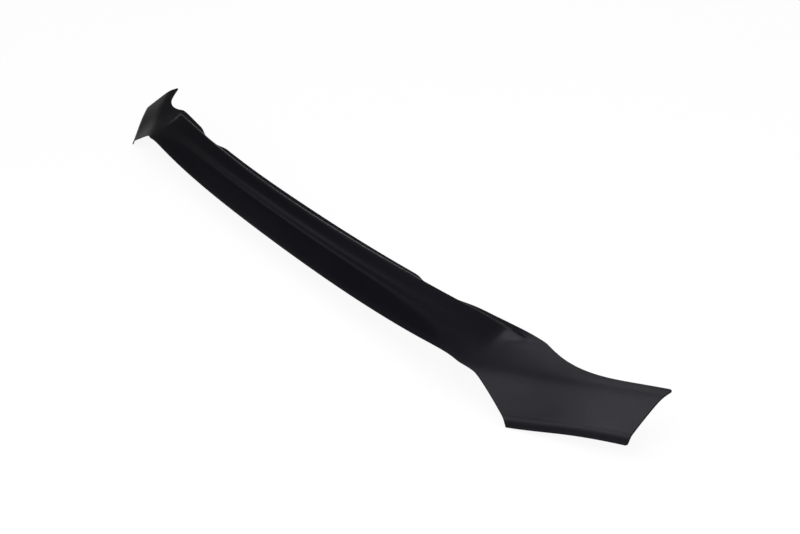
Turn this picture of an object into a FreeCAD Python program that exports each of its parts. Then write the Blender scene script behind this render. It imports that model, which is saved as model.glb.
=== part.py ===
"""One-piece hood guard that turns insects and stones away from a vehicle's hood.

The guard is a long moulded sheet.  Its bar lies along the leading edge of the
hood, with a face that drops over the edge and a raised lip that throws the air
upwards.  At each end a wing sweeps back round the corner of the hood.  Strips of
foam tape on the underside hold it to the paint.

Frame: X across the vehicle, +Y to the rear, +Z up.  The origin is in the mirror
plane, in the middle of the seat of the centre tape.  Right and left are as seen
from in front.  Lengths are millimetres.
"""
import FreeCAD, Part
import math
import os

from FreeCAD import Vector

# Sheet, tape, and half the length of the bar, from which its ends and wings are placed
SHEET = 2.5
TAPE = 1.1
TAPE_WIDTH, REAR_TAPE_WIDTH = 10.0, 6.0
CENTRE_TAPE_LENGTH = 240.0
BAR_HALF = 600.0
NOTCH_X = BAR_HALF * 2 / 3
BAR_TAPE_START, BAR_TAPE_END = 135.0, BAR_HALF - 80.0
REAR_TAPE_START, REAR_TAPE_END = 30.0, NOTCH_X - 75.0
REAR_TAPE_INSET = 1.0
WING_TAPE_START, WING_TAPE_END = -85.0, 45.0
WING_TAPE_FRONT, WING_TAPE_REAR = 53.0, 9.0

# Bar: lines across the vehicle, as a place in the mirror plane and a sweep back
BREAK_Y, BREAK_SWEEP = -10.0, 27.0
BAR_FRONT_Y = -34.0
SHELF_RISE, SHELF_END_SLOPE = 9.0, 0.47
SHELF_LEVEL, SHELF_LEVEL_ROUND = 13.0, 3.0
FACE_SLOPE_MIDDLE, FACE_SLOPE_END = 1.50, 0.45
BREAK_ROUND = 3.0

# Air lip on the shelf of the bar, and the low flange behind it
CREST_Y, CREST_SWEEP = 28.0, 34.0
CREST_HEIGHT, CREST_RISE = 12.3, 4.5
LIP_REAR_SLOPE, LIP_FRONT_SLOPE, LIP_FRONT_EASE = 1.0, 0.64, 0.10
FLANGE_HEIGHT, FLANGE_RISE = 4.0, 3.5
CREST_ROUND, LIP_FOOT_ROUND, FLANGE_ROUND = 2.3, 1.8, 1.0
LIP_END_X, LIP_END_SLOPE, LIP_END_ROUND = BAR_HALF - 28.0, 0.45, 4.0

# Wing: swept back from the bar, measured forward from its own rear line
WING_SWEEP = math.radians(32.6)
WING_X, WING_Y = BAR_HALF + 121.0, 101.0
WING_SHELF, WING_FACE = 18.0, 53.5
WING_TWIST_CENTRE, WING_TWIST_LENGTH = -55.0, 75.0
WING_BREAK_Z, WING_BREAK_TWIST = -10.2, 7.2
WING_SHELF_SLOPE, WING_SHELF_TWIST = 0.25, -0.15
WING_FACE_SLOPE, WING_FACE_TWIST = 0.735, -0.09
WING_HEM_SLOPE = 1.6
WING_BREAK_ROUND, WING_HEM_ROUND, MITRE_ROUND = 2.5, 1.3, 4.0

# Outline in plan, as places on the right-hand side
BAR_REAR_Y, REAR_POWER = 48.5, 2.3
CORNER = (BAR_HALF + 22.0, 87.5)
WING_REAR = (
    (BAR_HALF + 52.0, 85.6), (BAR_HALF + 90.0, 89.9),
    (BAR_HALF + 133.0, 107.0), (BAR_HALF + 171.0, 132.5),
)
REAR_TIP = (BAR_HALF + 202.0, 154.5)
OUTER_MIDDLE = (BAR_HALF + 205.3, 112.0)
FRONT_TIP = (BAR_HALF + 211.0, 66.8)
INNER_TIP = (BAR_HALF + 71.0, -21.8)
INNER_MIDDLE = (BAR_HALF + 34.0, -17.0)
INNER_START = (BAR_HALF - 12.0, -13.6)
BAR_END = (BAR_HALF - 40.0, -20.6)
TIP_RADIUS, CORNER_RADIUS = 3.5, 60.0

# Notches in the rear flange, each with a short ramp inboard and a long one outboard
NOTCH_DEPTH, NOTCH_FLOOR = 12.6, 34.0
NOTCH_INNER_RUN, NOTCH_OUTER_RUN = 36.0, 66.0
NOTCH_RADIUS = 60.0

SHELF_TOP = SHEET + TAPE
SKIN_REAR = 20.0
SKIN_MARGIN = 12.0
SKIN_DEPTH = 122.0
SKIN_HALF = FRONT_TIP[0] + 21.0
SKIN_CORNER_ROUND = 6.0
PRISM_HEIGHT = 400.0
OFFSET_TOLERANCE = 0.01


def soft_min(a, b, width):
    """The lower of two heights, rounded where they cross."""
    return min(a, b) - width * math.log1p(math.exp(-abs(a - b) / width))


def soft_max(a, b, width):
    """The higher of two heights, rounded where they cross."""
    return -soft_min(-a, -b, width)


def bar_line(x, start, sweep):
    """Place in Y of a line of the bar that sweeps back towards its ends."""
    return start + sweep * (x / BAR_HALF) ** 2


def rear_edge(x):
    """Place in Y of the rear edge of the flange."""
    return BAR_REAR_Y + (CORNER[1] - BAR_REAR_Y) * (abs(x) / CORNER[0]) ** REAR_POWER


def skin_rear(x):
    """Place in Y of the rear of the skin, along the bar and then along the wing."""
    along_bar = min(bar_line(x, CREST_Y + SKIN_REAR, CREST_SWEEP), CORNER[1])
    along_wing = WING_Y + (abs(x) - WING_X) * math.tan(WING_SWEEP)
    return soft_max(along_bar, along_wing, SKIN_CORNER_ROUND)


def shelf_height(x):
    """Top of the shelf under the lip, level in the middle and rising to its ends."""
    return SHELF_TOP + SHELF_RISE * (x / BAR_HALF) ** 4


def open_shelf_height(x, y):
    """Top of the shelf, which tips forward ahead of the lip near its ends."""
    ahead = soft_max(bar_line(x, CREST_Y - SHELF_LEVEL, CREST_SWEEP) - y, 0.0, SHELF_LEVEL_ROUND)
    return shelf_height(x) - SHELF_END_SLOPE * (x / BAR_HALF) ** 4 * ahead


def bar_height(x, y):
    """Top of the bar: a shelf that breaks into the front face."""
    share = min(abs(x) / BAR_HALF, 1.0)
    slope = FACE_SLOPE_MIDDLE + (FACE_SLOPE_END - FACE_SLOPE_MIDDLE) * share ** 2
    past_break = bar_line(x, BREAK_Y, BREAK_SWEEP) - y
    face = shelf_height(x) - slope * past_break
    return soft_min(open_shelf_height(x, y), face, BREAK_ROUND)


def wing_height(x, y):
    """Top of the wing: shelf, face and hem, twisted a little along the wing."""
    along = (abs(x) - WING_X) * math.cos(WING_SWEEP) + (y - WING_Y) * math.sin(WING_SWEEP)
    forward = (abs(x) - WING_X) * math.sin(WING_SWEEP) - (y - WING_Y) * math.cos(WING_SWEEP)
    twist = math.tanh((along - WING_TWIST_CENTRE) / WING_TWIST_LENGTH)
    level = SHELF_TOP + WING_BREAK_Z + WING_BREAK_TWIST * twist
    past_break = forward - WING_SHELF
    shelf = level - (WING_SHELF_SLOPE + WING_SHELF_TWIST * twist) * past_break
    face = level - (WING_FACE_SLOPE + WING_FACE_TWIST * twist) * past_break
    past_hem = soft_max(past_break - WING_FACE, 0.0, WING_HEM_ROUND)
    return soft_min(shelf, face, WING_BREAK_ROUND) - WING_HEM_SLOPE * past_hem


def lip_height(x, y):
    """Rise of the air lip, and of the flange behind it, above the shelf."""
    share = abs(x) / BAR_HALF
    past_crest = bar_line(x, CREST_Y, CREST_SWEEP) - y
    crest = SHELF_TOP + CREST_HEIGHT + CREST_RISE * share ** 2
    apex = crest + CREST_ROUND * math.log(2.0)
    flange = SHELF_TOP + FLANGE_HEIGHT + FLANGE_RISE * share ** 4
    rear = soft_max(apex + LIP_REAR_SLOPE * past_crest, flange, FLANGE_ROUND)
    front = apex - (LIP_FRONT_SLOPE - LIP_FRONT_EASE * share ** 4) * past_crest
    front -= LIP_END_SLOPE * soft_max(abs(x) - LIP_END_X, 0.0, LIP_END_ROUND)
    lip = soft_min(rear, front, CREST_ROUND)
    return soft_max(lip - open_shelf_height(x, y), 0.0, LIP_FOOT_ROUND)


def top_height(x, y):
    """Top of the whole guard at a place in plan."""
    base = soft_min(bar_height(x, y), wing_height(x, y), MITRE_ROUND)
    return base + lip_height(x, y)


def steps(*spans):
    """Places from spans of (start, end, step), each end once."""
    places = [spans[0][0]]
    for start, end, step in spans:
        count = max(1, round((end - start) / step))
        places += [start + (end - start) * i / count for i in range(1, count + 1)]
    return places


def skin_face():
    """The top of the guard as one smooth face, larger than the guard."""
    half = steps((0, BAR_HALF - 120, 60), (BAR_HALF - 120, BAR_HALF + 100, 14))
    half += steps((BAR_HALF + 100, SKIN_HALF, 16))[1:]
    across = [-x for x in half[:0:-1]] + half
    forward = steps((-SKIN_MARGIN, 8, 5), (8, 44, 2.25), (44, 72, 2.8), (72, SKIN_DEPTH, 6))
    rows = []
    for x in across:
        places = [skin_rear(x) - n for n in forward]
        rows.append([Vector(x, y, top_height(x, y)) for y in places])
    surface = Part.BSplineSurface()
    surface.interpolate(rows)
    return surface.toShape()


def curve_through(points):
    """A smooth edge through points."""
    curve = Part.BSplineCurve()
    curve.interpolate(points)
    return curve.toShape()


def upright(edges):
    """Upright prism over a closed chain of edges in plan."""
    face = Part.Face(Part.Wire(edges))
    face.translate(Vector(0, 0, -PRISM_HEIGHT / 2))
    return face.extrude(Vector(0, 0, PRISM_HEIGHT))


def upright_edges(solid, places):
    """The vertical edges of a prism that stand at the given places in plan."""
    found = []
    for edge in solid.Edges:
        box = edge.BoundBox
        if box.ZLength < PRISM_HEIGHT / 2:
            continue
        for place in places:
            if math.hypot(box.Center.x - place.x, box.Center.y - place.y) < 0.1:
                found.append(edge)
    return found


def wing_outline(side):
    """Edges in plan from the corner of the bar round a wing to the bar's front."""
    def placed(place):
        return Vector(side * place[0], place[1], 0)

    def straight(start, end):
        return Part.LineSegment(placed(start), placed(end)).toShape()

    def bowed(start, middle, end):
        return Part.Arc(placed(start), placed(middle), placed(end)).toShape()

    return [
        curve_through([placed(place) for place in (CORNER, *WING_REAR, REAR_TIP)]),
        bowed(REAR_TIP, OUTER_MIDDLE, FRONT_TIP),
        straight(FRONT_TIP, INNER_TIP),
        bowed(INNER_TIP, INNER_MIDDLE, INNER_START),
        straight(INNER_START, BAR_END),
    ]


def outline_prism():
    """Upright prism over the outline of the guard in plan, with rounded corners."""
    ends = [Vector(side * BAR_END[0], BAR_END[1], 0) for side in (-1, 1)]
    front = Part.Arc(ends[0], Vector(0, BAR_FRONT_Y, 0), ends[1]).toShape()
    across = steps((-CORNER[0], CORNER[0], 102))
    rear = curve_through([Vector(x, rear_edge(x), 0) for x in across])
    prism = upright(Part.sortEdges(wing_outline(1) + [front] + wing_outline(-1) + [rear])[0])
    for radius, corners in (
        (TIP_RADIUS, (REAR_TIP, FRONT_TIP, INNER_TIP)),
        (CORNER_RADIUS, (CORNER, INNER_START, BAR_END)),
    ):
        places = [Vector(side * x, y, 0) for x, y in corners for side in (-1, 1)]
        prism = prism.makeFillet(radius, upright_edges(prism, places))
    return notched(prism)


def notched(prism):
    """The prism with the two notches cut into the rear flange of the bar."""
    for side in (-1, 1):
        floor_y = rear_edge(NOTCH_X) - NOTCH_DEPTH
        points = []
        for end, run in ((-1, NOTCH_INNER_RUN), (1, NOTCH_OUTER_RUN)):
            floor = Vector(NOTCH_X + end * NOTCH_FLOOR / 2, floor_y, 0)
            mouth_x = floor.x + end * run
            mouth = Vector(mouth_x, rear_edge(mouth_x), 0)
            ramp = [floor + (mouth - floor) * 1.6, floor]
            points += ramp if end < 0 else ramp[::-1]
        points = [Vector(side * p.x, p.y, 0) for p in points]
        cutter = upright(Part.makePolygon(points + points[:1]).Edges)
        old = [edge.BoundBox.Center for edge in prism.Edges]
        prism = prism.cut(cutter)
        new = [
            edge for edge in prism.Edges
            if edge.BoundBox.ZLength > PRISM_HEIGHT / 2
            and all(edge.BoundBox.Center.distanceToPoint(place) > 0.1 for place in old)
        ]
        prism = prism.makeFillet(NOTCH_RADIUS, new)
    return prism


def strip_prism(points, width):
    """Upright prism over a strip of tape whose middle line is given in plan."""
    ahead = [points[1] - points[0]] + [b - a for a, b in zip(points, points[2:])]
    ahead.append(points[-1] - points[-2])
    left, right = [], []
    for point, direction in zip(points, ahead):
        side = Vector(-direction.y, direction.x, 0).normalize() * (width / 2)
        left.append(point + side)
        right.append(point - side)
    return upright([
        curve_through(left),
        Part.LineSegment(left[-1], right[-1]).toShape(),
        curve_through(right[::-1]),
        Part.LineSegment(right[0], left[0]).toShape(),
    ])


def bar_strip(side, start, end):
    """Middle line of a strip under the shelf of the bar, just behind its break."""
    places = steps((start, end, 50))
    return [Vector(side * x, bar_line(x, 0.0, BREAK_SWEEP), 0) for x in places]


def rear_strip(side, start, end):
    """Middle line of a strip under the flange behind the lip."""
    inset = REAR_TAPE_INSET + REAR_TAPE_WIDTH / 2
    return [Vector(side * x, rear_edge(x) - inset, 0) for x in steps((start, end, 50))]


def wing_strip(side, forward):
    """Middle line of a strip along a wing, parallel to the wing's rear line."""
    points = []
    for along in steps((WING_TAPE_START, WING_TAPE_END, 65)):
        x = WING_X + along * math.cos(WING_SWEEP) + forward * math.sin(WING_SWEEP)
        y = WING_Y + along * math.sin(WING_SWEEP) - forward * math.cos(WING_SWEEP)
        points.append(Vector(side * x, y, 0))
    return points


def thickened(face, depth):
    """A solid between a face and the same face moved down square to itself."""
    return face.makeOffsetShape(depth, OFFSET_TOLERANCE, fill=True).Solids[0]


def strip_under(skin, points, width):
    """The part of the sheet's underside that a strip of tape covers."""
    strip = skin.common(strip_prism(points, width)).Faces[0]
    return strip.makeOffsetShape(SHEET, OFFSET_TOLERANCE).Faces[0]


def centre_tape(skin):
    """The centre tape: its top follows the sheet and its seat is level."""
    half = CENTRE_TAPE_LENGTH / 2
    points = [Vector(x, 0, 0) for x in steps((-half, half, 60))]
    deep = strip_under(skin, points, TAPE_WIDTH).extrude(Vector(0, 0, -4 * TAPE))
    below = Part.makeBox(4 * half, 4 * TAPE_WIDTH, 8 * TAPE)
    below.translate(Vector(-2 * half, -2 * TAPE_WIDTH, -8 * TAPE))
    return deep.cut(below).Solids[0]


if __name__ == "__main__":
    os.makedirs("parts", exist_ok=True)
    skin = skin_face()
    sheet = skin.common(outline_prism()).Faces[0]
    solids = {"guard_shell": thickened(sheet, SHEET), "tape_centre": centre_tape(skin)}
    for side, name in ((1, "right"), (-1, "left")):
        strips = {
            "tape_bar_": (bar_strip(side, BAR_TAPE_START, BAR_TAPE_END), TAPE_WIDTH),
            "tape_rear_": (rear_strip(side, REAR_TAPE_START, REAR_TAPE_END), REAR_TAPE_WIDTH),
            "tape_wing_front_": (wing_strip(side, WING_TAPE_FRONT), TAPE_WIDTH),
            "tape_wing_rear_": (wing_strip(side, WING_TAPE_REAR), TAPE_WIDTH),
        }
        for node, (points, width) in strips.items():
            solids[node + name] = thickened(strip_under(skin, points, width), TAPE)
    for node, solid in solids.items():
        solid.exportStep("parts/" + node + ".step")
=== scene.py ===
"""Looks of a hood bug deflector: one moulded black guard with foam tape under it.

The guard is drawn as a flat net over its own outline.  A Geometry Nodes tree raises
the net by the same rule of heights as the part's source, and the sheet then gets its
thickness and its rounded rim.  Sizes are millimetres in the classes and metres in the
meshes.  Right and left are as seen from in front of the vehicle.
"""
from __future__ import annotations

import logging
import math
from dataclasses import dataclass, field, fields
from enum import Enum
from typing import Union

import bpy
from mathutils import Matrix, Vector

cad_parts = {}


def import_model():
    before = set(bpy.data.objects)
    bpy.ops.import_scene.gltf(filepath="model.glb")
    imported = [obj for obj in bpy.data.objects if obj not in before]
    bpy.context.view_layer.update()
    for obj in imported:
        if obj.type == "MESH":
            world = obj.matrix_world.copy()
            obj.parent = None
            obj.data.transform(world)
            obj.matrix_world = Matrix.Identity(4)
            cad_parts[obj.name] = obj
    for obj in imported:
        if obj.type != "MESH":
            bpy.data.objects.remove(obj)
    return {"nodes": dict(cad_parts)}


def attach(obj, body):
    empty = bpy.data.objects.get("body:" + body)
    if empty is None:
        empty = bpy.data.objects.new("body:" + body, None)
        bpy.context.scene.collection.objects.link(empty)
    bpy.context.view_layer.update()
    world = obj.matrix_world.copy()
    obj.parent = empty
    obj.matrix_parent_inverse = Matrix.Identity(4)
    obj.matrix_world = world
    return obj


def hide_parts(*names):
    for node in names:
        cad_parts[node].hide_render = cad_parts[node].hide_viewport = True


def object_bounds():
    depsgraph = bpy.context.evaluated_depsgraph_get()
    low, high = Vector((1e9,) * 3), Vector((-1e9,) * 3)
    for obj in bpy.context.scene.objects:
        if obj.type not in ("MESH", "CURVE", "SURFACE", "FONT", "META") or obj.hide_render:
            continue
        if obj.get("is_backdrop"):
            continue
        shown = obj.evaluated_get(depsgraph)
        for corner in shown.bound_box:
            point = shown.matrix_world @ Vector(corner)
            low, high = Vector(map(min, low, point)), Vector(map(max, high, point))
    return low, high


LOG = logging.getLogger("bug_deflector")
MILLIMETRE = 0.001
TINY = 1e-6
# Sizes of the bar that change all along it go by the square of the distance from the
# middle, and those that change only near its ends by the fourth power.
BOW_POWER = 2.0
END_POWER = 4.0
Place = tuple[float, float]
Spot = tuple[float, float, float]
Colour = tuple[float, float, float]
Number = Union["Field", float]


def soft_min(a: float, b: float, width: float) -> float:
    """Lower of two numbers, rounded where they cross.

    Args:
        a: First number.
        b: Second number.
        width: How wide the rounding is.

    Returns:
        The rounded lower number.
    """
    return min(a, b) - width * math.log1p(math.exp(-abs(a - b) / width))


def soft_max(a: float, b: float, width: float) -> float:
    """Higher of two numbers, rounded where they cross.

    Args:
        a: First number.
        b: Second number.
        width: How wide the rounding is.

    Returns:
        The rounded higher number.
    """
    return -soft_min(-a, -b, width)


def smooth_share(share: float) -> float:
    """Share from 0 to 1 that starts and ends gently.

    Args:
        share: Plain share, held between 0 and 1.

    Returns:
        The eased share.
    """
    held = min(max(share, 0.0), 1.0)
    return held * held * (3.0 - 2.0 * held)


def between(start: Place, end: Place, share: float) -> Place:
    """Place on the straight line from one place to another.

    Args:
        start: Place at the share of 0.
        end: Place at the share of 1.
        share: How far along the line.

    Returns:
        The place in plan.
    """
    return (start[0] + (end[0] - start[0]) * share, start[1] + (end[1] - start[1]) * share)


class SplineLine:
    """A smooth line y(x) through given places, straight beyond its ends."""

    def __init__(self, places: tuple[Place, ...]) -> None:
        """Solve the bend of the line at each place.

        Args:
            places: Places in order of x.
        """
        self.x = [place[0] for place in places]
        self.y = [place[1] for place in places]
        count = len(places)
        runs = [self.x[i + 1] - self.x[i] for i in range(count - 1)]
        rises = [(self.y[i + 1] - self.y[i]) / runs[i] for i in range(count - 1)]
        upper = [0.0] * count
        right = [0.0] * count
        for i in range(1, count - 1):
            middle = 2.0 * (runs[i - 1] + runs[i]) - runs[i - 1] * upper[i - 1]
            upper[i] = runs[i] / middle
            right[i] = (6.0 * (rises[i] - rises[i - 1]) - runs[i - 1] * right[i - 1]) / middle
        self.bend = [0.0] * count
        for i in range(count - 2, 0, -1):
            self.bend[i] = right[i] - upper[i] * self.bend[i + 1]

    def at(self, x: float) -> float:
        """Place in Y of the line.

        Args:
            x: Place in X.

        Returns:
            The place in Y.
        """
        i = 0
        while i < len(self.x) - 2 and x > self.x[i + 1]:
            i += 1
        run = self.x[i + 1] - self.x[i]
        rise = (self.y[i + 1] - self.y[i]) / run
        if x < self.x[0]:
            slope = rise - run * self.bend[1] / 6.0
            return self.y[0] + slope * (x - self.x[0])
        if x > self.x[-1]:
            slope = rise + run * self.bend[i] / 6.0
            return self.y[-1] + slope * (x - self.x[-1])
        ahead, behind = (self.x[i + 1] - x) / run, (x - self.x[i]) / run
        bend = self.bend[i] * (ahead ** 3 - ahead) + self.bend[i + 1] * (behind ** 3 - behind)
        return ahead * self.y[i] + behind * self.y[i + 1] + bend * run * run / 6.0


@dataclass
class GuardHeights:
    """Sizes of the rule that raises the guard's sheet, in millimetres, slopes and degrees."""

    bar_half: float = 600.0
    shelf_top: float = 3.6
    shelf_rise: float = 9.0
    shelf_end_slope: float = 0.47
    shelf_level: float = 13.0
    shelf_level_round: float = 3.0
    break_y: float = -10.0
    break_sweep: float = 27.0
    face_slope_middle: float = 1.50
    face_slope_end: float = 0.45
    break_round: float = 3.0
    crest_y: float = 28.0
    crest_sweep: float = 34.0
    crest_height: float = 12.3
    crest_rise: float = 4.5
    lip_rear_slope: float = 1.0
    lip_front_slope: float = 0.64
    lip_front_ease: float = 0.10
    flange_height: float = 4.0
    flange_rise: float = 3.5
    crest_round: float = 2.3
    lip_foot_round: float = 1.8
    flange_round: float = 1.0
    lip_end_x: float = 572.0
    lip_end_slope: float = 0.45
    lip_end_round: float = 4.0
    wing_x: float = 721.0
    wing_y: float = 101.0
    wing_sweep_degrees: float = 32.6
    wing_shelf: float = 18.0
    wing_face: float = 53.5
    wing_twist_centre: float = -55.0
    wing_twist_length: float = 75.0
    wing_break_z: float = -10.2
    wing_break_twist: float = 7.2
    wing_shelf_slope: float = 0.25
    wing_shelf_twist: float = -0.15
    wing_face_slope: float = 0.735
    wing_face_twist: float = -0.09
    wing_hem_slope: float = 1.6
    wing_break_round: float = 2.5
    wing_hem_round: float = 1.3
    mitre_round: float = 4.0


@dataclass
class GuardOutline:
    """Outline of the guard in plan, and the flat net of faces that fills it.

    The net's columns run from the rear edge to the front edge.  Its rows are counted
    behind the crest, from the crest to the break of the face, and below the break.
    """

    heights: GuardHeights = field(default_factory=GuardHeights)
    bar_rear_y: float = 48.5
    rear_power: float = 2.3
    corner: Place = (622.0, 87.5)
    wing_rear: tuple[Place, ...] = ((652.0, 85.6), (690.0, 89.9), (733.0, 107.0), (771.0, 132.5))
    rear_tip: Place = (802.0, 154.5)
    outer_hollow: float = 1.06
    outer_hollow_power: float = 4.0
    front_tip: Place = (811.0, 66.8)
    inner_tip: Place = (671.0, -21.8)
    inner_middle: Place = (634.0, -17.0)
    inner_start: Place = (588.0, -13.6)
    bar_end: Place = (560.0, -20.6)
    bar_front_y: float = -34.0
    tip_radius: float = 3.5
    notch_x: float = 400.0
    notch_depth: float = 12.6
    notch_floor: float = 34.0
    notch_inner_run: float = 36.0
    notch_outer_run: float = 66.0
    notch_round: float = 1.3
    corner_round: float = 0.43
    corner_reach: float = 30.0
    inner_round: float = 0.97
    blend_start: float = 530.0
    wing_start: float = 690.0
    wing_break_share: float = 0.25
    wing_hem_share: float = 0.90
    bar_columns: int = 88
    mitre_columns: int = 84
    wing_columns: int = 62
    rows: tuple[int, int, int] = (22, 44, 10)
    rim_reach: float = 3.0
    rim_column_weight: float = 1.5
    wing_line: SplineLine = field(init=False)

    def __post_init__(self) -> None:
        """Prepare the line along the rear of the wing."""
        self.wing_line = SplineLine((self.corner, *self.wing_rear, self.rear_tip))

    def plain_rear(self, x: float) -> float:
        """Rear edge of the bar before the notches are cut.

        Args:
            x: Place in X, on the right-hand side.

        Returns:
            The place in Y.
        """
        rise = self.corner[1] - self.bar_rear_y
        return self.bar_rear_y + rise * (x / self.corner[0]) ** self.rear_power

    def notch_line(self, x: float) -> float:
        """Edge of the notch: a level floor between two ramps.

        Args:
            x: Place in X, on the right-hand side.

        Returns:
            The place in Y.
        """
        floor = self.plain_rear(self.notch_x) - self.notch_depth
        line = floor
        for end, run in ((-1.0, self.notch_inner_run), (1.0, self.notch_outer_run)):
            foot = self.notch_x + end * self.notch_floor / 2.0
            mouth = self.plain_rear(foot + end * run)
            ramp = floor + (mouth - floor) * end * (x - foot) / run
            line = soft_max(line, ramp, self.notch_round)
        return line

    def rear_y(self, x: float) -> float:
        """Rear edge of the whole guard.

        Args:
            x: Place in X, on the right-hand side.

        Returns:
            The place in Y.
        """
        if x > self.corner[0] + self.corner_reach:
            return self.wing_line.at(x)
        bar = soft_min(self.plain_rear(x), self.notch_line(x), self.notch_round)
        if x < self.corner[0] - self.corner_reach:
            return bar
        return soft_min(bar, self.wing_line.at(x), self.corner_round)

    def front_y(self, x: float) -> float:
        """Front edge of the bar, as far as the inner tip of the wing.

        Args:
            x: Place in X, on the right-hand side.

        Returns:
            The place in Y.
        """
        end_x, end_y = self.bar_end
        hollow = end_y - self.bar_front_y
        radius = (end_x ** 2 + hollow ** 2) / (2.0 * hollow)
        bar = self.bar_front_y + radius - math.sqrt(radius ** 2 - x ** 2)
        if x < end_x - self.corner_reach:
            return bar
        start_x, start_y = self.inner_start
        step = end_y + (x - end_x) * (start_y - end_y) / (start_x - end_x)
        front = soft_max(bar, step, self.corner_round)
        return soft_min(front, self.inner_y(x), self.inner_round)

    def inner_y(self, x: float) -> float:
        """Front edge between the bar and the inner tip, a shallow bow through three places.

        Args:
            x: Place in X, on the right-hand side.

        Returns:
            The place in Y.
        """
        places = (self.inner_start, self.inner_middle, self.inner_tip)
        total = 0.0
        for i, (own_x, own_y) in enumerate(places):
            share = own_y
            for j, (other_x, _) in enumerate(places):
                if j != i:
                    share *= (x - other_x) / (own_x - other_x)
            total += share
        return total

    def stations(self) -> list[tuple[Place, Place, float]]:
        """Ends of every column of the net on the right-hand side.

        Returns:
            The rear place, the front place and the share of the wing, for each column.
        """
        found: list[tuple[Place, Place, float]] = []
        for i in range(self.bar_columns + 1):
            x = self.blend_start * i / self.bar_columns
            found.append(((x, self.rear_y(x)), (x, self.front_y(x)), 0.0))
        for i in range(1, self.mitre_columns + 1):
            share = i / self.mitre_columns
            rear_x = self.blend_start + (self.wing_start - self.blend_start) * share
            front_x = self.blend_start + (self.inner_tip[0] - self.blend_start) * share
            rear = (rear_x, self.rear_y(rear_x))
            front = (front_x, self.front_y(front_x))
            if i == self.mitre_columns:
                front = self.inner_tip
            found.append((rear, front, 0.0))
        for i in range(1, self.wing_columns + 1):
            share = i / self.wing_columns
            rear_x = self.wing_start + (self.rear_tip[0] - self.wing_start) * share
            front = between(self.inner_tip, self.front_tip, share)
            found.append(((rear_x, self.rear_y(rear_x)), front, share))
        return found

    def row_shares(self, rear: Place) -> list[float]:
        """Share of a column at each row, so that rows follow the crest and the breaks.

        Args:
            rear: Rear place of the column.

        Returns:
            Shares from 0 at the rear to 1 at the front.
        """
        sizes = self.heights
        x = min(rear[0], self.blend_start)
        sweep = (x / sizes.bar_half) ** BOW_POWER
        edge = self.rear_y(x)
        depth = edge - self.front_y(x)
        crest = (edge - sizes.crest_y - sizes.crest_sweep * sweep) / depth
        fold = (edge - sizes.break_y - sizes.break_sweep * sweep) / depth
        wing = smooth_share((rear[0] - self.blend_start) / (self.wing_start - self.blend_start))
        crest += (self.wing_break_share - crest) * wing
        fold += (self.wing_hem_share - fold) * wing
        shares = [0.0]
        for start, end, count in zip((0.0, crest, fold), (crest, fold, 1.0), self.rows):
            shares += [start + (end - start) * i / count for i in range(1, count + 1)]
        return shares

    def column(self, rear: Place, front: Place, wing: float) -> list[Place]:
        """Places of one column of the net on the right-hand side.

        Args:
            rear: Rear place of the column.
            front: Front place of the column.
            wing: Share of the wing, from 0 at its root to 1 at its outer edge.

        Returns:
            The places from the rear to the front.
        """
        hollow = self.outer_hollow * wing ** self.outer_hollow_power
        places = []
        for share in self.row_shares(rear):
            x, y = between(rear, front, share)
            # The bow is 0 at both ends of the column and 1 in its middle.
            bow = 4.0 * share * (1.0 - share)
            place = (x - hollow * bow, y)
            places.append(self.rounded(self.rounded(place, self.rear_tip), self.front_tip))
        return places

    def rounded(self, place: Place, tip: Place) -> Place:
        """Draw a place in, where it lies in the sharp corner of a tip.

        Args:
            place: Place of the net.
            tip: The rear tip or the front tip of the wing.

        Returns:
            The place within the tip's rounding.
        """
        corner = Vector(tip)
        along = Vector(self.front_tip if tip == self.rear_tip else self.rear_tip) - corner
        inward = Vector(self.wing_rear[-1] if tip == self.rear_tip else self.inner_tip) - corner
        along.normalize()
        inward.normalize()
        half = along.angle(inward) / 2.0
        centre = corner + (along + inward).normalized() * (self.tip_radius / math.sin(half))
        arm = Vector(place) - centre
        outward = corner - centre
        if arm.length < TINY:
            return place
        turn = outward.angle(arm)
        open_half = math.pi / 2.0 - half
        if turn >= open_half:
            return place
        arm *= math.cos(open_half - turn)
        return (centre.x + arm.x, centre.y + arm.y)

    def mesh(self) -> bpy.types.Mesh:
        """Flat net of faces over the whole outline.

        Returns:
            A mesh in metres at the height of zero, with its nearness to the rim.
        """
        right = [self.column(rear, front, wing) for rear, front, wing in self.stations()]
        left = [[(-x, y) for x, y in column] for column in right[:0:-1]]
        columns = left + right
        height = len(columns[0])
        verts = [(x * MILLIMETRE, y * MILLIMETRE, 0.0) for column in columns for x, y in column]
        faces = []
        for i in range(len(columns) - 1):
            for j in range(height - 1):
                first = i * height + j
                faces.append((first, first + 1, first + height + 1, first + height))
        mesh = bpy.data.meshes.new("guard_net")
        mesh.from_pydata(verts, [], faces)
        # Nearness to the rim, which is the mask of the painted highlight along it.
        rim = mesh.attributes.new("rim", "FLOAT", "POINT")
        last = len(columns) - 1
        for i in range(len(columns)):
            for j in range(height):
                apart = min(j, height - 1 - j, self.rim_column_weight * min(i, last - i))
                rim.data[i * height + j].value = max(0.0, 1.0 - apart / self.rim_reach)
        mesh.validate()
        return mesh


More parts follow.
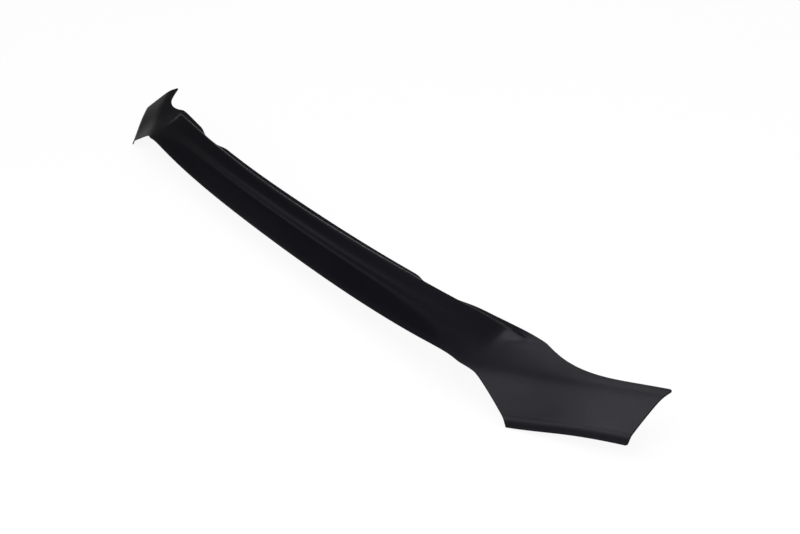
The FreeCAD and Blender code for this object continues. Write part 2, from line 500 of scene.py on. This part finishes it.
class Field:
    """A number at each point of the net, as a socket of a tree, with the usual sums."""

    def __init__(self, tree: bpy.types.NodeTree, socket: bpy.types.NodeSocket) -> None:
        """Keep the tree and the socket.

        Args:
            tree: Tree that the socket belongs to.
            socket: Output socket that gives the number.
        """
        self.tree = tree
        self.socket = socket

    def sum_node(self, operation: str, *numbers: Number) -> Field:
        """Add a Math node to the tree.

        Args:
            operation: Name of the Math node's operation.
            *numbers: Its inputs, as fields or plain numbers.

        Returns:
            The node's output.
        """
        node = self.tree.nodes.new("ShaderNodeMath")
        node.operation = operation
        for socket, number in zip(node.inputs, numbers):
            if isinstance(number, Field):
                self.tree.links.new(number.socket, socket)
            else:
                socket.default_value = number
        return Field(self.tree, node.outputs[0])

    def __add__(self, other: Number) -> Field:
        """Sum of two numbers.

        Args:
            other: What is added.

        Returns:
            The sum.
        """
        return self.sum_node("ADD", self, other)

    def __sub__(self, other: Number) -> Field:
        """Difference of two numbers.

        Args:
            other: What is taken away.

        Returns:
            The difference.
        """
        return self.sum_node("SUBTRACT", self, other)

    def __mul__(self, other: Number) -> Field:
        """Product of two numbers.

        Args:
            other: What it is multiplied by.

        Returns:
            The product.
        """
        return self.sum_node("MULTIPLY", self, other)

    def __truediv__(self, other: Number) -> Field:
        """Quotient of two numbers.

        Args:
            other: What it is divided by.

        Returns:
            The quotient.
        """
        return self.sum_node("DIVIDE", self, other)

    def power(self, exponent: float) -> Field:
        """The number raised to a power.

        Args:
            exponent: The power.

        Returns:
            The raised number.
        """
        return self.sum_node("POWER", self, exponent)

    def magnitude(self) -> Field:
        """The number without its sign.

        Returns:
            The number, never below zero.
        """
        return self.sum_node("ABSOLUTE", self)

    def rounding(self, other: Number, width: Number) -> Field:
        """How far a rounded crossing of two numbers departs from the sharp one.

        Args:
            other: The other number.
            width: How wide the rounding is.

        Returns:
            The departure, never below zero.
        """
        apart = (self - other).magnitude() * -1.0 / width
        grown = self.sum_node("EXPONENT", apart) + 1.0
        return self.sum_node("LOGARITHM", grown, math.e) * width

    def soft_min(self, other: Number, width: Number) -> Field:
        """Lower of two numbers, rounded where they cross.

        Args:
            other: The other number.
            width: How wide the rounding is.

        Returns:
            The rounded lower number.
        """
        return self.sum_node("MINIMUM", self, other) - self.rounding(other, width)

    def soft_max(self, other: Number, width: Number) -> Field:
        """Higher of two numbers, rounded where they cross.

        Args:
            other: The other number.
            width: How wide the rounding is.

        Returns:
            The rounded higher number.
        """
        return self.sum_node("MAXIMUM", self, other) + self.rounding(other, width)


class HeightTree:
    """Geometry Nodes tree that raises the flat net to the guard's top."""

    def __init__(self, sizes: GuardHeights) -> None:
        """Start the tree with one named input for each size.

        Args:
            sizes: Sizes that the tree's inputs are set to.
        """
        self.sizes = sizes
        self.tree = bpy.data.node_groups.new("guard_heights", "GeometryNodeTree")
        interface = self.tree.interface
        interface.new_socket("Geometry", in_out="INPUT", socket_type="NodeSocketGeometry")
        interface.new_socket("Geometry", in_out="OUTPUT", socket_type="NodeSocketGeometry")
        self.identifiers: dict[str, str] = {}
        for size in fields(sizes):
            title = size.name.replace("_", " ").capitalize()
            socket = interface.new_socket(title, in_out="INPUT", socket_type="NodeSocketFloat")
            socket.default_value = getattr(sizes, size.name)
            self.identifiers[size.name] = socket.identifier
        self.inlet = self.tree.nodes.new("NodeGroupInput")
        self.outlet = self.tree.nodes.new("NodeGroupOutput")

    def size(self, name: str) -> Field:
        """Input of the tree.

        Args:
            name: Name of a size.

        Returns:
            The input as a field.
        """
        wanted = self.identifiers[name]
        socket = next(s for s in self.inlet.outputs if s.identifier == wanted)
        return Field(self.tree, socket)

    def shelf(self, x: Field) -> Field:
        """Top of the shelf of the bar, level in the middle and rising to its ends.

        Args:
            x: Distance from the mirror plane.

        Returns:
            The height.
        """
        share = (x / self.size("bar_half")).power(END_POWER)
        return self.size("shelf_top") + self.size("shelf_rise") * share

    def open_shelf(self, x: Field, y: Field) -> Field:
        """Top of the shelf, which tips forward ahead of the lip near its ends.

        Args:
            x: Distance from the mirror plane.
            y: Place in Y.

        Returns:
            The height.
        """
        ahead = self.bar_line(x, "crest") - self.size("shelf_level") - y
        ahead = ahead.soft_max(0.0, self.size("shelf_level_round"))
        tilt = self.size("shelf_end_slope") * (x / self.size("bar_half")).power(END_POWER)
        return self.shelf(x) - tilt * ahead

    def bar_line(self, x: Field, line: str) -> Field:
        """Place in Y of a line of the bar that sweeps back towards its ends.

        Args:
            x: Distance from the mirror plane.
            line: Name of the line's sizes, such as crest or break.

        Returns:
            The place in Y.
        """
        share = (x / self.size("bar_half")).power(BOW_POWER)
        return self.size(line + "_y") + self.size(line + "_sweep") * share

    def bar(self, x: Field, y: Field) -> Field:
        """Top of the bar: a shelf that breaks into the front face.

        Args:
            x: Distance from the mirror plane.
            y: Place in Y.

        Returns:
            The height.
        """
        share = x.sum_node("MINIMUM", x / self.size("bar_half"), 1.0).power(BOW_POWER)
        middle, end = self.size("face_slope_middle"), self.size("face_slope_end")
        slope = middle + (end - middle) * share
        face = self.shelf(x) - slope * (self.bar_line(x, "break") - y)
        return self.open_shelf(x, y).soft_min(face, self.size("break_round"))

    def wing(self, x: Field, y: Field) -> Field:
        """Top of the wing: shelf, face and hem, twisted a little along the wing.

        Args:
            x: Distance from the mirror plane.
            y: Place in Y.

        Returns:
            The height.
        """
        sweep = self.size("wing_sweep_degrees") * math.radians(1.0)
        sine, cosine = sweep.sum_node("SINE", sweep), sweep.sum_node("COSINE", sweep)
        out, back = x - self.size("wing_x"), y - self.size("wing_y")
        along = out * cosine + back * sine
        forward = out * sine - back * cosine
        turned = (along - self.size("wing_twist_centre")) / self.size("wing_twist_length")
        twist = turned.sum_node("TANH", turned)
        level = self.size("shelf_top") + self.size("wing_break_z")
        level = level + self.size("wing_break_twist") * twist
        past = forward - self.size("wing_shelf")
        shelf_slope = self.size("wing_shelf_slope") + self.size("wing_shelf_twist") * twist
        face_slope = self.size("wing_face_slope") + self.size("wing_face_twist") * twist
        shelf, face = level - shelf_slope * past, level - face_slope * past
        top = shelf.soft_min(face, self.size("wing_break_round"))
        hem = (past - self.size("wing_face")).soft_max(0.0, self.size("wing_hem_round"))
        return top - self.size("wing_hem_slope") * hem

    def lip(self, x: Field, y: Field) -> Field:
        """Rise of the air lip, and of the flange behind it, above the shelf.

        Args:
            x: Distance from the mirror plane.
            y: Place in Y.

        Returns:
            The rise.
        """
        share = x / self.size("bar_half")
        past = self.bar_line(x, "crest") - y
        crest = self.size("shelf_top") + self.size("crest_height")
        crest = crest + self.size("crest_rise") * share.power(BOW_POWER)
        # Rounding lowers the crest by its width times the logarithm of 2.
        apex = crest + self.size("crest_round") * math.log(2.0)
        flange = self.size("shelf_top") + self.size("flange_height")
        flange = flange + self.size("flange_rise") * share.power(END_POWER)
        rear = apex + self.size("lip_rear_slope") * past
        rear = rear.soft_max(flange, self.size("flange_round"))
        slope = self.size("lip_front_slope") - self.size("lip_front_ease") * share.power(END_POWER)
        turned = (x - self.size("lip_end_x")).soft_max(0.0, self.size("lip_end_round"))
        front = apex - slope * past - self.size("lip_end_slope") * turned
        lip = rear.soft_min(front, self.size("crest_round"))
        return (lip - self.open_shelf(x, y)).soft_max(0.0, self.size("lip_foot_round"))

    def build(self, finish: bpy.types.Material) -> bpy.types.NodeTree:
        """Wire the whole tree.

        Args:
            finish: Material that the tree sets.

        Returns:
            The tree, ready for a modifier.
        """
        nodes, links = self.tree.nodes, self.tree.links
        apart = nodes.new("ShaderNodeSeparateXYZ")
        links.new(nodes.new("GeometryNodeInputPosition").outputs[0], apart.inputs[0])
        x = Field(self.tree, apart.outputs["X"]).magnitude() * (1.0 / MILLIMETRE)
        y = Field(self.tree, apart.outputs["Y"]) * (1.0 / MILLIMETRE)
        base = self.bar(x, y).soft_min(self.wing(x, y), self.size("mitre_round"))
        height = (base + self.lip(x, y)) * MILLIMETRE
        lift = nodes.new("ShaderNodeCombineXYZ")
        links.new(height.socket, lift.inputs["Z"])
        place = nodes.new("GeometryNodeSetPosition")
        links.new(self.inlet.outputs["Geometry"], place.inputs["Geometry"])
        links.new(lift.outputs[0], place.inputs["Offset"])
        smooth = nodes.new("GeometryNodeSetShadeSmooth")
        links.new(place.outputs[0], smooth.inputs["Geometry"])
        real = nodes.new("GeometryNodeRealizeInstances")
        links.new(smooth.outputs[0], real.inputs[0])
        dress = nodes.new("GeometryNodeSetMaterial")
        dress.inputs["Material"].default_value = finish
        links.new(real.outputs[0], dress.inputs["Geometry"])
        links.new(dress.outputs[0], self.outlet.inputs["Geometry"])
        return self.tree

    def raised(self, net: bpy.types.Mesh, finish: bpy.types.Material) -> bpy.types.Mesh:
        """Raise a flat net and take the result as a plain mesh.

        Args:
            net: Flat net over the guard's outline.
            finish: Material that the tree sets.

        Returns:
            The raised mesh.
        """
        carrier = bpy.data.objects.new("guard_net", net)
        bpy.context.scene.collection.objects.link(carrier)
        modifier = carrier.modifiers.new("heights", "NODES")
        modifier.node_group = self.build(finish)
        for name, identifier in self.identifiers.items():
            modifier[identifier] = float(getattr(self.sizes, name))
        graph = bpy.context.evaluated_depsgraph_get()
        mesh = bpy.data.meshes.new_from_object(carrier.evaluated_get(graph))
        bpy.data.objects.remove(carrier)
        return mesh


def noise(
    tree: bpy.types.NodeTree, where: bpy.types.NodeSocket, scale: float, detail: float
) -> bpy.types.Node:
    """Add a noise texture to a material.

    Args:
        tree: Tree of the material.
        where: Coordinates that the noise goes by.
        scale: How fine the noise is.
        detail: How many finer layers it has.

    Returns:
        The texture's node.
    """
    node = tree.nodes.new("ShaderNodeTexNoise")
    node.inputs["Scale"].default_value = scale
    node.inputs["Detail"].default_value = detail
    tree.links.new(where, node.inputs["Vector"])
    return node


class Grain(Enum):
    """How the surface of a finish is broken up."""

    LEATHER = "leather"
    CELLS = "cells"


@dataclass(frozen=True)
class Finish:
    """A surface with its own colour, sheen and grain, and a paler colour for a painted highlight
    at its rim; the grain's sizes are millimetres.
    """

    name: str
    colour: Colour
    # Paler colour of the painted highlight along the rim.
    rim_highlight_colour: Colour
    roughness: float
    specular: float
    grain: Grain
    grain_size: float
    grain_depth: float
    tint_scale: float = 9.0
    tint_detail: float = 3.0
    tint_span: tuple[float, float] = (0.3, 0.7)
    tint_spread: float = 0.12
    sheen_scale: float = 45.0
    sheen_detail: float = 4.0
    sheen_spread: float = 0.04
    wander_scale: float = 0.5
    wander_detail: float = 2.0
    wander_share: float = 0.35
    bump_strength: float = 0.5

    def material(self) -> bpy.types.Material:
        """Make the finish as a material.

        Returns:
            The material.
        """
        material = bpy.data.materials.new(self.name)
        material.use_nodes = True
        tree = material.node_tree
        shader = tree.nodes["Principled BSDF"]
        shader.inputs["Specular IOR Level"].default_value = self.specular
        where = tree.nodes.new("ShaderNodeTexCoord").outputs["Object"]
        self.tint(tree, shader, where)
        self.sheen(tree, shader, where)
        self.relief(tree, shader, where)
        return material

    def tint(
        self, tree: bpy.types.NodeTree, shader: bpy.types.Node, where: bpy.types.NodeSocket
    ) -> None:
        """Colour that drifts a little over the piece, with a painted highlight that makes it paler
        at its rim.

        Args:
            tree: Tree of the material.
            shader: Its shader.
            where: Object coordinates.
        """
        drift = noise(tree, where, self.tint_scale, self.tint_detail)
        ramp = tree.nodes.new("ShaderNodeValToRGB")
        shades = (1.0 - self.tint_spread, 1.0 + self.tint_spread)
        for stop, position, shade in zip(ramp.color_ramp.elements, self.tint_span, shades):
            stop.position = position
            stop.color = (*(part * shade for part in self.colour), 1.0)
        tree.links.new(drift.outputs["Fac"], ramp.inputs["Fac"])
        rim = tree.nodes.new("ShaderNodeAttribute")
        rim.attribute_name = "rim"
        # Painted highlight: towards the rim the colour turns paler, standing in for the light line
        # on the rounded edge.
        painted_rim_highlight = tree.nodes.new("ShaderNodeMix")
        painted_rim_highlight.data_type = "RGBA"
        tree.links.new(rim.outputs["Fac"], painted_rim_highlight.inputs["Factor"])
        tree.links.new(ramp.outputs["Color"], painted_rim_highlight.inputs["A"])
        painted_rim_highlight.inputs["B"].default_value = (*self.rim_highlight_colour, 1.0)
        tree.links.new(painted_rim_highlight.outputs["Result"], shader.inputs["Base Color"])

    def sheen(
        self, tree: bpy.types.NodeTree, shader: bpy.types.Node, where: bpy.types.NodeSocket
    ) -> None:
        """Roughness that varies a little, as a moulded surface does.

        Args:
            tree: Tree of the material.
            shader: Its shader.
            where: Object coordinates.
        """
        haze = noise(tree, where, self.sheen_scale, self.sheen_detail)
        span = tree.nodes.new("ShaderNodeMapRange")
        span.inputs["To Min"].default_value = self.roughness - self.sheen_spread
        span.inputs["To Max"].default_value = self.roughness + self.sheen_spread
        tree.links.new(haze.outputs["Fac"], span.inputs["Value"])
        tree.links.new(span.outputs["Result"], shader.inputs["Roughness"])

    def relief(
        self, tree: bpy.types.NodeTree, shader: bpy.types.Node, where: bpy.types.NodeSocket
    ) -> None:
        """Grain as bump: leather pebbles, or the cells of foam.

        Args:
            tree: Tree of the material.
            shader: Its shader.
            where: Object coordinates.
        """
        size = self.grain_size * MILLIMETRE
        pebbles = tree.nodes.new("ShaderNodeTexVoronoi")
        pebbles.feature = "SMOOTH_F1" if self.grain is Grain.LEATHER else "F1"
        pebbles.inputs["Scale"].default_value = 1.0 / size
        wander = noise(tree, where, self.wander_scale / size, self.wander_detail)
        bent = tree.nodes.new("ShaderNodeVectorMath")
        bent.operation = "MULTIPLY_ADD"
        tree.links.new(wander.outputs["Color"], bent.inputs[0])
        bent.inputs[1].default_value = (size, size, size)
        tree.links.new(where, bent.inputs[2])
        tree.links.new(bent.outputs["Vector"], pebbles.inputs["Vector"])
        blend = tree.nodes.new("ShaderNodeMix")
        blend.data_type = "FLOAT"
        blend.inputs["Factor"].default_value = self.wander_share
        tree.links.new(pebbles.outputs["Distance"], blend.inputs["A"])
        tree.links.new(wander.outputs["Fac"], blend.inputs["B"])
        bump = tree.nodes.new("ShaderNodeBump")
        bump.inputs["Strength"].default_value = self.bump_strength
        bump.inputs["Distance"].default_value = self.grain_depth * MILLIMETRE
        tree.links.new(blend.outputs["Result"], bump.inputs["Height"])
        tree.links.new(bump.outputs["Normal"], shader.inputs["Normal"])


MOULDED_BLACK = Finish(
    name="moulded_black",
    colour=(0.0027, 0.0028, 0.0060),
    # The rim's painted highlight is this paler colour.
    rim_highlight_colour=(0.007, 0.007, 0.010),
    roughness=0.33,
    specular=0.42,
    grain=Grain.LEATHER,
    grain_size=1.3,
    grain_depth=0.16,
)
TAPE_FOAM = Finish(
    name="tape_foam",
    colour=(0.018, 0.018, 0.019),
    rim_highlight_colour=(0.018, 0.018, 0.019),
    roughness=0.92,
    specular=0.2,
    grain=Grain.CELLS,
    grain_size=0.45,
    grain_depth=0.12,
)


@dataclass
class GuardShell:
    """The moulded guard itself: one sheet with a rounded rim."""

    sheet: float = 2.5
    rim_radius: float = 0.65
    rim_segments: int = 2
    rim_angle: float = 50.0

    def build(self, outline: GuardOutline) -> bpy.types.Object:
        """Make the guard and give it its thickness and its finish.

        Args:
            outline: Outline and net in plan, with the sizes of the rule of heights.

        Returns:
            The guard's object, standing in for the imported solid.
        """
        finish = MOULDED_BLACK.material()
        mesh = HeightTree(outline.heights).raised(outline.mesh(), finish)
        shell = bpy.data.objects.new("moulded_guard", mesh)
        bpy.context.scene.collection.objects.link(shell)
        wall = shell.modifiers.new("sheet", "SOLIDIFY")
        wall.thickness = self.sheet * MILLIMETRE
        # The raised net is the top of the sheet, so the wall goes down from it.
        wall.offset = -1.0
        wall.use_even_offset = True
        edge = shell.modifiers.new("rim", "BEVEL")
        edge.width = self.rim_radius * MILLIMETRE
        edge.segments = self.rim_segments
        edge.limit_method = "ANGLE"
        edge.angle_limit = math.radians(self.rim_angle)
        edge.use_clamp_overlap = False
        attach(shell, "root")
        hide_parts("guard_shell")
        return shell


@dataclass
class FoamTape:
    """Strips of foam tape under the guard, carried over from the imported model."""

    prefix: str = "tape_"

    def dress(self, nodes: dict[str, bpy.types.Object]) -> int:
        """Give every strip its foam.

        Args:
            nodes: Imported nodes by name.

        Returns:
            How many strips there are.
        """
        foam = TAPE_FOAM.material()
        strips = [node for name, node in nodes.items() if name.startswith(self.prefix)]
        for strip in strips:
            if not strip.material_slots:
                strip.data.materials.append(foam)
            for slot in strip.material_slots:
                slot.material = foam
        return len(strips)


@dataclass
class Camera:
    """The photograph's view of the guard, in millimetres, and how far it sees, in metres."""

    place: Spot = (1633.28, -837.95, 798.30)
    aim: Spot = (-0.744695, 0.498592, -0.443661)
    lens: float = 50.0
    sensor: float = 36.0
    reach: float = 50.0

    def build(self) -> bpy.types.Object:
        """Make the camera and give it to the scene.

        Returns:
            The camera's object.
        """
        data = bpy.data.cameras.new("photograph")
        data.lens = self.lens
        data.sensor_width = self.sensor
        data.sensor_fit = "HORIZONTAL"
        data.clip_end = self.reach
        camera = bpy.data.objects.new("photograph", data)
        bpy.context.scene.collection.objects.link(camera)
        turn = Vector(self.aim).to_track_quat("-Z", "Y").to_matrix().to_4x4()
        camera.matrix_world = Matrix.Translation(Vector(self.place) * MILLIMETRE) @ turn
        bpy.context.scene.camera = camera
        return camera


@dataclass
class Softbox:
    """A square lamp that is aimed at the guard, in metres and watts."""

    name: str
    place: Spot
    target: Spot
    side: float
    power: float
    colour: Colour = (0.97, 0.93, 1.0)

    def build(self) -> bpy.types.Object:
        """Make the lamp.

        Returns:
            The lamp's object.
        """
        data = bpy.data.lights.new(self.name, "AREA")
        data.shape = "SQUARE"
        data.size = self.side
        data.color = self.colour
        data.energy = self.power
        lamp = bpy.data.objects.new(self.name, data)
        bpy.context.scene.collection.objects.link(lamp)
        lamp.visible_camera = False
        aim = (Vector(self.target) - Vector(self.place)).to_track_quat("-Z", "Y")
        lamp.matrix_world = Matrix.Translation(Vector(self.place)) @ aim.to_matrix().to_4x4()
        return lamp


@dataclass
class Studio:
    """White floor, surroundings and soft lamps, with places in metres."""

    floor_half: float = 9.0
    floor_gap: float = 0.0005
    floor_colour: Colour = (0.96, 0.96, 0.96)
    floor_roughness: float = 0.9
    shadow_share: float = 0.10
    gloss_share: float = 0.38
    fill: float = 0.85
    surroundings: float = 0.05

    def softboxes(self) -> list[Softbox]:
        """Lamps of the studio.

        Returns:
            The lamps, not yet built.
        """
        return [
            Softbox("overhead_front", (0.70, -0.50, 1.25), (0.74, 0.03, 0.0), 0.66, 2.25),
            Softbox("overhead_inner", (0.26, 0.14, 1.25), (0.64, 0.05, 0.0), 0.42, 0.30),
            Softbox("overhead", (0.74, 0.10, 1.25), (0.74, 0.05, 0.0), 0.58, 1.27),
            Softbox("overhead_back", (-0.235, 0.75, 1.87), (0.68, 0.08, 0.0), 0.7, 2.0),
            Softbox("far_side", (-1.48, 0.31, 1.22), (0.0, 0.0, 0.0), 0.62, 0.36),
            Softbox("front", (1.25, -1.84, 1.41), (0.75, 0.04, 0.0), 1.2, 7.2),
            Softbox("back", (-0.06, 1.17, 1.53), (0.60, 0.06, 0.0), 0.5, 0.9),
            Softbox("back_low", (-2.20, 2.00, 0.45), (0.0, 0.0, 0.0), 0.5, 1.1),
            Softbox("left", (-0.92, -0.23, 1.49), (0.40, 0.0, 0.0), 0.6, 0.18),
        ]

    def build(self, lowest: float) -> None:
        """Set the floor, the surroundings and the lamps.

        Args:
            lowest: Height of the guard's lowest point, in metres.
        """
        scene = bpy.context.scene
        scene.view_settings.view_transform = "Standard"
        for softbox in self.softboxes():
            softbox.build()
        self.floor(lowest - self.floor_gap)
        self.world()

    def seen_directly(self, tree: bpy.types.NodeTree) -> bpy.types.NodeSocket:
        """Whether a ray is one that shows the background.

        Args:
            tree: Tree of the floor's material.

        Returns:
            Socket that is 1 for camera, glossy and transmission rays, otherwise 0.
        """
        path = tree.nodes.new("ShaderNodeLightPath")
        seen = path.outputs["Is Camera Ray"]
        for title in ("Is Glossy Ray", "Is Transmission Ray"):
            either = tree.nodes.new("ShaderNodeMath")
            either.operation = "MAXIMUM"
            tree.links.new(seen, either.inputs[0])
            tree.links.new(path.outputs[title], either.inputs[1])
            seen = either.outputs[0]
        return seen

    def floor(self, level: float) -> None:
        """White floor that keeps the guard's shadow and shows dimmer in reflections.

        Args:
            level: Height of the floor, in metres.
        """
        half = self.floor_half
        mesh = bpy.data.meshes.new("floor")
        corners = [(-half, -half), (half, -half), (half, half), (-half, half)]
        mesh.from_pydata([(x, y, level) for x, y in corners], [], [(0, 1, 2, 3)])
        floor = bpy.data.objects.new("floor", mesh)
        bpy.context.scene.collection.objects.link(floor)
        material = bpy.data.materials.new("white_paper")
        material.use_nodes = True
        tree = material.node_tree
        shader = tree.nodes["Principled BSDF"]
        shader.inputs["Base Color"].default_value = (*self.floor_colour, 1.0)
        shader.inputs["Roughness"].default_value = self.floor_roughness
        shader.inputs["Specular IOR Level"].default_value = 0.0
        glow = tree.nodes.new("ShaderNodeEmission")
        dimmed = tree.nodes.new("ShaderNodeMapRange")
        dimmed.inputs["To Min"].default_value = 1.0
        dimmed.inputs["To Max"].default_value = self.gloss_share
        path = tree.nodes.new("ShaderNodeLightPath")
        tree.links.new(path.outputs["Is Glossy Ray"], dimmed.inputs["Value"])
        tree.links.new(dimmed.outputs["Result"], glow.inputs["Strength"])
        share = tree.nodes.new("ShaderNodeMath")
        share.operation = "MULTIPLY"
        tree.links.new(self.seen_directly(tree), share.inputs[0])
        share.inputs[1].default_value = 1.0 - self.shadow_share
        mix = tree.nodes.new("ShaderNodeMixShader")
        tree.links.new(share.outputs[0], mix.inputs["Fac"])
        tree.links.new(shader.outputs[0], mix.inputs[1])
        tree.links.new(glow.outputs[0], mix.inputs[2])
        tree.links.new(mix.outputs[0], tree.nodes["Material Output"].inputs["Surface"])
        mesh.materials.append(material)
        floor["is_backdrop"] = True

    def world(self) -> None:
        """Surroundings that are white to the camera, an even fill to surfaces and dim to gloss."""
        world = bpy.data.worlds.new("studio")
        bpy.context.scene.world = world
        world.use_nodes = True
        tree = world.node_tree
        ground = tree.nodes["Background"]
        ground.inputs["Color"].default_value = (1.0, 1.0, 1.0, 1.0)
        path = tree.nodes.new("ShaderNodeLightPath")
        level = tree.nodes.new("ShaderNodeMapRange")
        level.inputs["To Min"].default_value = self.surroundings
        level.inputs["To Max"].default_value = self.fill
        tree.links.new(path.outputs["Is Diffuse Ray"], level.inputs["Value"])
        span = tree.nodes.new("ShaderNodeMapRange")
        tree.links.new(level.outputs["Result"], span.inputs["To Min"])
        span.inputs["To Max"].default_value = 1.0
        tree.links.new(path.outputs["Is Camera Ray"], span.inputs["Value"])
        tree.links.new(span.outputs["Result"], ground.inputs["Strength"])


def main() -> None:
    """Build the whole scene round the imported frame."""
    logging.basicConfig(level=logging.INFO, format="%(message)s")
    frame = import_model()
    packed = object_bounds()
    Camera().build()
    LOG.info("camera set")
    shell = GuardShell().build(GuardOutline())
    LOG.info("guard shell: %d faces in its sheet", len(shell.data.polygons))
    strips = FoamTape().dress(frame["nodes"])
    LOG.info("foam tape: %d strips dressed", strips)
    Studio().build(packed[0][2])
    LOG.info("studio set")


if __name__ == "__main__":
    main()
